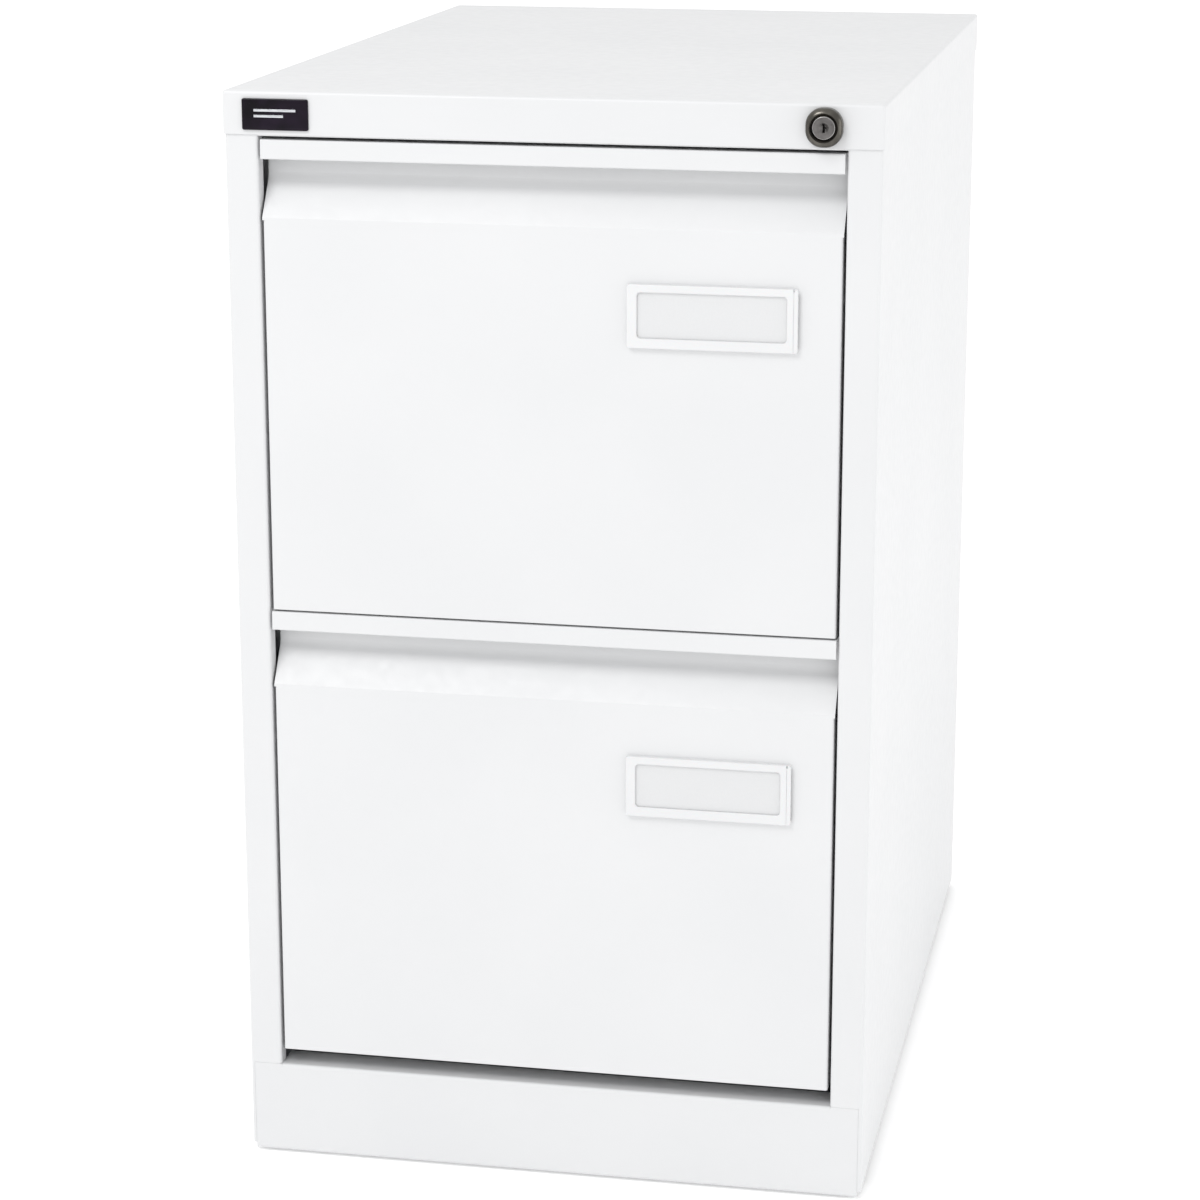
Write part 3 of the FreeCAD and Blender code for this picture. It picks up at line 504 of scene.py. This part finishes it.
galvanised = plated("galvanised_sheet", (0.46, 0.475, 0.49), (0.60, 0.61, 0.62), 45.0)
dress(galvanised, "base_pan", "base_rail_left", "base_rail_right", "front_upright_left",
      "front_upright_right", "rear_upright_left", "rear_upright_right", "foot_nuts")


# ---------------------------------------------------------------- drawers
# Each front is one folded sheet with a hooked lip and a finger recess, closed behind by a
# liner. Sides, floor and back are folded sheet too, and all of it is coated white.

drawer_coat = powder_coat(
    "drawer_powder_coat", (0.652, 0.657, 0.665), (0.668, 0.672, 0.679), 0.34, 0.42)
for drawer in ("lower", "upper"):
    dress(drawer_coat, f"{drawer}_front_skin", f"{drawer}_front_liner",
          f"{drawer}_drawer_side_left", f"{drawer}_drawer_side_right",
          f"{drawer}_drawer_floor", f"{drawer}_drawer_back", f"{drawer}_file_rails")


# ---------------------------------------------------------------- label holders
# A moulded frame on each drawer front, white like the coat but smoother. Its window has a
# bevelled edge, and a short cap closes its right end where the card is pushed in.

WINDOW_FROM_LEFT = 0.0063
WINDOW_FROM_TOP = 0.0049
WINDOW_SIZE = Vector((0.0932, 0, 0.0286))
WINDOW_CORNER = 0.0024
WINDOW_BEVEL = 0.0005
HOLDER_CORNER = 0.0018
HOLDER_EDGE = 0.0007
HOLDER_FRONT = 0.0013
HOLDER_WALL = 0.0030
END_CAP = 0.0026
GROOVE = 0.0003
NOTCH = 0.0011
NOTCH_TALL = 0.0016
NOTCH_FLOOR = 0.0002

moulding, nodes, links, shader = blank_finish("label_holder_moulding")
flow = speckle(nodes, links, 30.0, 2.0, (0.4, 1, 1))
links.new(shades(nodes, links, flow, (0.668, 0.672, 0.679), (0.684, 0.688, 0.694)),
          shader.inputs["Base Color"])
links.new(spread(nodes, links, flow, 0.30, 0.38), shader.inputs["Roughness"])
links.new(relief(nodes, links, speckle(nodes, links, 420.0), 0.00002, 0.4),
          shader.inputs["Normal"])
shader.inputs["Subsurface Weight"].default_value = 0.03
shader.inputs["Subsurface Scale"].default_value = 0.001

for drawer in ("lower", "upper"):
    low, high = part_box(f"{drawer}_label_holder")
    holder = blank_block(f"{drawer}_label_frame", low, high)
    shape_on(holder)
    pick_edges(holder, front_to_back)
    bpy.ops.mesh.bevel(offset=HOLDER_CORNER, segments=6, affect="EDGES")
    pick_faces(holder, facing(FRONT))
    bpy.ops.mesh.bevel(offset=HOLDER_EDGE, segments=4, affect="EDGES")
    shape_off()
    window_low = Vector((
        low.x + WINDOW_FROM_LEFT, low.y + WINDOW_BEVEL,
        high.z - WINDOW_FROM_TOP - WINDOW_SIZE.z))
    window_high = Vector((
        window_low.x + WINDOW_SIZE.x, high.y + CUT_PAST, window_low.z + WINDOW_SIZE.z))
    window_mid = (window_low + window_high) / 2
    window = blank_block("window", window_low, window_high)
    shape_on(window)
    pick_edges(window, front_to_back)
    bpy.ops.mesh.bevel(offset=WINDOW_CORNER, segments=6, affect="EDGES")
    pick_faces(window, facing(FRONT))
    bpy.ops.mesh.extrude_region_move(
        TRANSFORM_OT_translate={"value": (0, -2 * WINDOW_BEVEL, 0)})
    bpy.ops.transform.resize(
        value=(1 + 4 * WINDOW_BEVEL / WINDOW_SIZE.x, 1, 1 + 4 * WINDOW_BEVEL / WINDOW_SIZE.z),
        center_override=window_mid)
    shape_off()
    cut_away(holder, window)
    cut_away(holder, blank_block(
        "card_space",
        Vector((low.x + HOLDER_WALL, low.y + HOLDER_FRONT, low.z + HOLDER_WALL)),
        Vector((high.x + CUT_PAST, high.y + CUT_PAST, high.z - HOLDER_WALL))))
    cut_away(holder, blank_block(
        "groove",
        Vector((high.x - END_CAP - GROOVE, low.y - CUT_PAST, low.z - CUT_PAST)),
        Vector((high.x - END_CAP, low.y + GROOVE, high.z + CUT_PAST))))
    cut_away(holder, blank_block(
        "notch",
        Vector((high.x - END_CAP - NOTCH / 2, low.y - CUT_PAST, high.z - NOTCH_TALL)),
        Vector((high.x - END_CAP + NOTCH / 2, low.y + HOLDER_FRONT - NOTCH_FLOOR,
                high.z + CUT_PAST))))
    finish_off(holder, moulding, f"{drawer}_drawer", "drawer_enamel",
               f"{drawer}_label_holder")


# ---------------------------------------------------------------- label cards
# A slip of white card behind each holder's window, with the fine fibres of uncoated paper.

card, nodes, links, shader = blank_finish("label_card_stock")
fibre = speckle(nodes, links, 2600.0, 3.0, (1, 1, 0.5))
links.new(shades(nodes, links, fibre, (0.622, 0.626, 0.632), (0.640, 0.644, 0.650)),
          shader.inputs["Base Color"])
links.new(spread(nodes, links, fibre, 0.78, 0.88), shader.inputs["Roughness"])
links.new(relief(nodes, links, fibre, 0.00001, 0.4), shader.inputs["Normal"])
dress(card, "lower_label_card", "upper_label_card")


# ---------------------------------------------------------------- runners
# Full-extension ball runners, roll formed from plated strip: an outer channel on the
# uprights, a middle channel, an inner channel on the drawer, and two sets of balls.

def drawn(name, dark, light):
    """Plated strip, with the fine lines that the rolls leave along it."""
    finish, nodes, links, shader = blank_finish(name)
    lines = speckle(nodes, links, 900.0, 3.0, (1, 0.02, 1))
    links.new(shades(nodes, links, lines, dark, light), shader.inputs["Base Color"])
    links.new(spread(nodes, links, lines, 0.24, 0.40), shader.inputs["Roughness"])
    links.new(relief(nodes, links, lines, 0.00002, 0.5), shader.inputs["Normal"])
    shader.inputs["Metallic"].default_value = 1.0
    return finish


runner_strip = drawn("runner_strip", (0.55, 0.57, 0.60), (0.68, 0.70, 0.72))
ball_steel, nodes, links, shader = blank_finish("polished_ball_steel")
haze = speckle(nodes, links, 300.0)
links.new(shades(nodes, links, haze, (0.62, 0.63, 0.64), (0.70, 0.71, 0.72)),
          shader.inputs["Base Color"])
links.new(spread(nodes, links, haze, 0.08, 0.16), shader.inputs["Roughness"])
shader.inputs["Metallic"].default_value = 1.0
for drawer in ("lower", "upper"):
    dress(runner_strip, f"{drawer}_runner_outer", f"{drawer}_runner_middle",
          f"{drawer}_runner_inner")
    dress(ball_steel, f"{drawer}_outer_balls", f"{drawer}_inner_balls")


# ---------------------------------------------------------------- runner screws
# Zinc-plated pan-head screws with a cross recess. The long ones hold the outer channels to
# the uprights, the short ones hold the inner channels to the drawer's sides.

SCREW_HEAD_RADIUS = 0.0034
SCREW_HEAD_TALL = 0.0011
SCREW_ROUNDING = 0.0008
SHANK_RADIUS = 0.0018
LONG_SHANK = 0.007
SHORT_SHANK = 0.004
RECESS_LONG = 0.0034
RECESS_WIDE = 0.0008
RECESS_DEEP = 0.0007


def pan_screw(name, length):
    """A screw at the origin, its head towards -X and its shank towards +X."""
    seat = Vector((0, 0, 0))
    screw = blank_rod(
        name, SCREW_HEAD_RADIUS, Vector((-SCREW_HEAD_TALL, 0, 0)), seat, 32)
    shape_on(screw)
    pick_faces(screw, facing(-RIGHT))
    bpy.ops.mesh.bevel(offset=SCREW_ROUNDING, segments=4, affect="EDGES")
    pick_faces(screw, facing(RIGHT))
    bpy.ops.mesh.extrude_region_move(TRANSFORM_OT_translate={"value": (0, 0, 0)})
    narrow = SHANK_RADIUS / SCREW_HEAD_RADIUS
    bpy.ops.transform.resize(value=(1, narrow, narrow), center_override=seat)
    bpy.ops.mesh.extrude_region_move(TRANSFORM_OT_translate={"value": (length, 0, 0)})
    shape_off()
    for tall, wide in ((RECESS_LONG, RECESS_WIDE), (RECESS_WIDE, RECESS_LONG)):
        half = Vector((0, tall / 2, wide / 2))
        cut_away(screw, blank_block(
            "recess",
            Vector((-SCREW_HEAD_TALL - CUT_PAST, 0, 0)) - half,
            Vector((RECESS_DEEP - SCREW_HEAD_TALL, 0, 0)) + half))
    return screw


def fit_screws(pattern, node, length, body):
    """Puts a screw at each corner of the node's box, both sides, heads inboard."""
    low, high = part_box(node)
    levels = {low.z + SCREW_HEAD_RADIUS, high.z - SCREW_HEAD_RADIUS}
    if high.z - low.z < 3 * SCREW_HEAD_RADIUS:
        levels = {(low.z + high.z) / 2}
    number = 0
    for side in (1, -1):
        for y in (low.y + SCREW_HEAD_RADIUS, high.y - SCREW_HEAD_RADIUS):
            for z in sorted(levels):
                number += 1
                screw = pattern.copy()
                screw.data = pattern.data.copy()
                screw.name = f"{node}_{number}"
                bpy.context.collection.objects.link(screw)
                screw.location = (side * (high.x - length), y, z)
                screw.rotation_euler = (0, 0, 0 if side > 0 else math.pi)
                bpy.ops.object.select_all(action="DESELECT")
                bpy.context.view_layer.objects.active = screw
                screw.select_set(True)
                bpy.ops.object.transform_apply(location=True, rotation=True, scale=True)
                finish_off(screw, bright_zinc, body, "zinc_steel", node)


long_screw = pan_screw("long_screw", LONG_SHANK)
fit_screws(long_screw, "runner_screws", LONG_SHANK, "carcass")
bpy.data.objects.remove(long_screw)
short_screw = pan_screw("short_screw", SHORT_SHANK)
for drawer in ("lower", "upper"):
    fit_screws(short_screw, f"{drawer}_drawer_screws", SHORT_SHANK, f"{drawer}_drawer")
bpy.data.objects.remove(short_screw)


# ---------------------------------------------------------------- levelling feet
# Four nylon pads moulded on plated M8 studs, screwed up into weld nuts in the base rails.

PAD_TALL = 0.005
PAD_EDGE = 0.0018
STUD_RADIUS = 0.0040
STUD_LEAD = 0.0008
THREAD_PITCH = 0.00125
WAVE_RATE = 20  # radians that the wave texture turns in one unit at a scale of one

nylon, nodes, links, shader = blank_finish("foot_nylon")
grain = speckle(nodes, links, 500.0, 3.0)
links.new(shades(nodes, links, grain, (0.020, 0.020, 0.021), (0.036, 0.036, 0.038)),
          shader.inputs["Base Color"])
links.new(spread(nodes, links, grain, 0.45, 0.6), shader.inputs["Roughness"])
links.new(relief(nodes, links, grain, 0.00006, 0.5), shader.inputs["Normal"])

threaded, nodes, links, shader = blank_finish("threaded_zinc")
place = nodes.new("ShaderNodeTexCoord")
turns = nodes.new("ShaderNodeTexWave")
turns.bands_direction = "Z"
turns.inputs["Scale"].default_value = 2 * math.pi / THREAD_PITCH / WAVE_RATE
links.new(place.outputs["Object"], turns.inputs["Vector"])
# The thread's bands are painted dark and light: painted shade in its roots and painted highlight
# on its crests.
links.new(shades(nodes, links, turns.outputs["Fac"], (0.30, 0.31, 0.33), (0.62, 0.63, 0.65)),
          shader.inputs["Base Color"])
links.new(spread(nodes, links, speckle(nodes, links, 200.0), 0.30, 0.42),
          shader.inputs["Roughness"])
links.new(relief(nodes, links, turns.outputs["Fac"], 0.0004, 0.8), shader.inputs["Normal"])
shader.inputs["Metallic"].default_value = 1.0

for corner in ("front_left", "front_right", "rear_left", "rear_right"):
    low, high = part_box(f"foot_{corner}")
    base = Vector(((low.x + high.x) / 2, (low.y + high.y) / 2, low.z))
    pad = blank_rod(
        f"foot_pad_{corner}", (high.x - low.x) / 2, base, base + Vector((0, 0, PAD_TALL)), 48)
    shape_on(pad)
    pick_faces(pad, facing(UP))
    bpy.ops.mesh.bevel(offset=PAD_EDGE, segments=4, affect="EDGES")
    shape_off()
    finish_off(pad, nylon, f"foot_{corner}", "foot_plastic", f"foot_{corner}")
    stud = blank_rod(
        f"foot_stud_{corner}", STUD_RADIUS, base + Vector((0, 0, PAD_TALL)),
        Vector((base.x, base.y, high.z)), 32)
    shape_on(stud)
    pick_faces(stud, facing(UP))
    bpy.ops.mesh.bevel(offset=STUD_LEAD, segments=1, affect="EDGES")
    shape_off()
    finish_off(stud, threaded, f"foot_{corner}", "zinc_steel", f"foot_{corner}")


# ---------------------------------------------------------------- studio
# A pale floor lit faintly from below, an even white surround, two broad soft lights (upper
# left and right), and the camera in front of the cabinet, above it and to its right.

FLOOR_GLOW = 0.22
SURROUND = 1.0
VIEW_LENS = 100.8
VIEW_SENSOR = 36.0
FLOOR_SIZE = 60.0
bpy.ops.object.select_all(action="DESELECT")
bpy.ops.mesh.primitive_plane_add(size=FLOOR_SIZE, location=(0, 0, 0))
floor = bpy.context.object
floor.name = "studio_floor"
paper, nodes, links, shader = blank_finish("studio_paper")
links.new(shades(nodes, links, speckle(nodes, links, 1.5), (0.93, 0.93, 0.93),
                 (0.94, 0.94, 0.94)), shader.inputs["Base Color"])
shader.inputs["Roughness"].default_value = 0.9
shader.inputs["Specular IOR Level"].default_value = 0.1
shader.inputs["Emission Color"].default_value = (1, 1, 1, 1)
shader.inputs["Emission Strength"].default_value = FLOOR_GLOW
floor.data.materials.append(paper)

surround = bpy.data.worlds.new("white_surround")
surround.use_nodes = True
surround.node_tree.nodes["Background"].inputs["Color"].default_value = (1, 1, 1, 1)
surround.node_tree.nodes["Background"].inputs["Strength"].default_value = SURROUND
bpy.context.scene.world = surround

middle = (cad_low + cad_high) / 2
# name, place from the cabinet's middle, size in metres, power in watts
LIGHTS = (
    ("soft_key", Vector((-0.9, -2.0, 2.25)), 1.1, 26.0),
    ("side_fill", Vector((2.5, -0.3, 0.4)), 1.7, 9.0))
for name, place, size, power in LIGHTS:
    bpy.ops.object.light_add(type="AREA", location=middle + place)
    light = bpy.context.object
    light.name = name
    light.data.shape = "SQUARE"
    light.data.size = size
    light.data.energy = power
    light.rotation_euler = (-place).to_track_quat("-Z", "Y").to_euler()

EYE_FROM_MIDDLE = Vector((0.432, -2.314, 0.5865))
VIEW_TURN = math.radians(11.25)
VIEW_DOWN = math.radians(14.93)
bpy.ops.object.camera_add(location=middle + EYE_FROM_MIDDLE)
camera = bpy.context.object
camera.name = "studio_camera"
toward = Vector((
    -math.sin(VIEW_TURN) * math.cos(VIEW_DOWN),
    math.cos(VIEW_TURN) * math.cos(VIEW_DOWN),
    -math.sin(VIEW_DOWN)))
camera.rotation_euler = toward.to_track_quat("-Z", "Y").to_euler()
camera.data.sensor_width = VIEW_SENSOR
camera.data.lens = VIEW_LENS
camera.data.clip_end = 100.0
bpy.context.scene.camera = camera
bpy.context.scene.view_settings.view_transform = "Standard"
